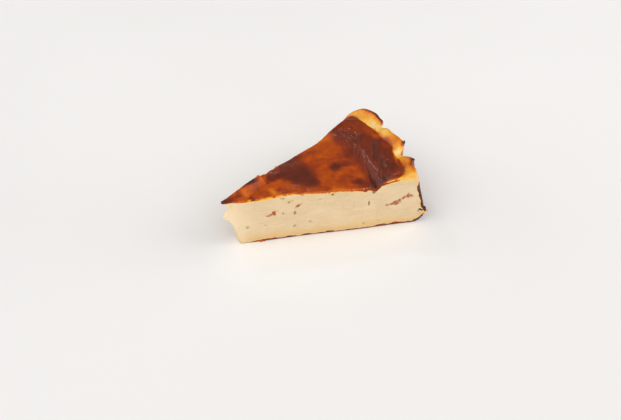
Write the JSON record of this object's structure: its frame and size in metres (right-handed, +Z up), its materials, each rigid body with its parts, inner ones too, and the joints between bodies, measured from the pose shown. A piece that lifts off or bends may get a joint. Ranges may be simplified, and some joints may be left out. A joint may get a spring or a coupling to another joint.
{
  "type": "basque cheesecake slice",
  "caption": "Wedge of basque cheesecake, cut from a round cake: pale custard, burnt brown top, raised and folded rim.",
  "frame": {"origin": "middle of the bounding box's base, on the flat underside of the slice", "axes": "+X from the tip of the wedge to the middle of the rim, +Z up, +Y across to the far cut"},
  "size_m": [0.1224, 0.0808, 0.0395],
  "materials": {
    "custard": "dense baked custard, cream coloured and slightly moist on the cuts, burnt brown and glossy on top",
    "burnt_crumb": "dry crumbs and flakes of the browned skin"
  },
  "bodies": {
    "root": {"cheesecake_slice": "custard"}
  },
  "joints": []
}
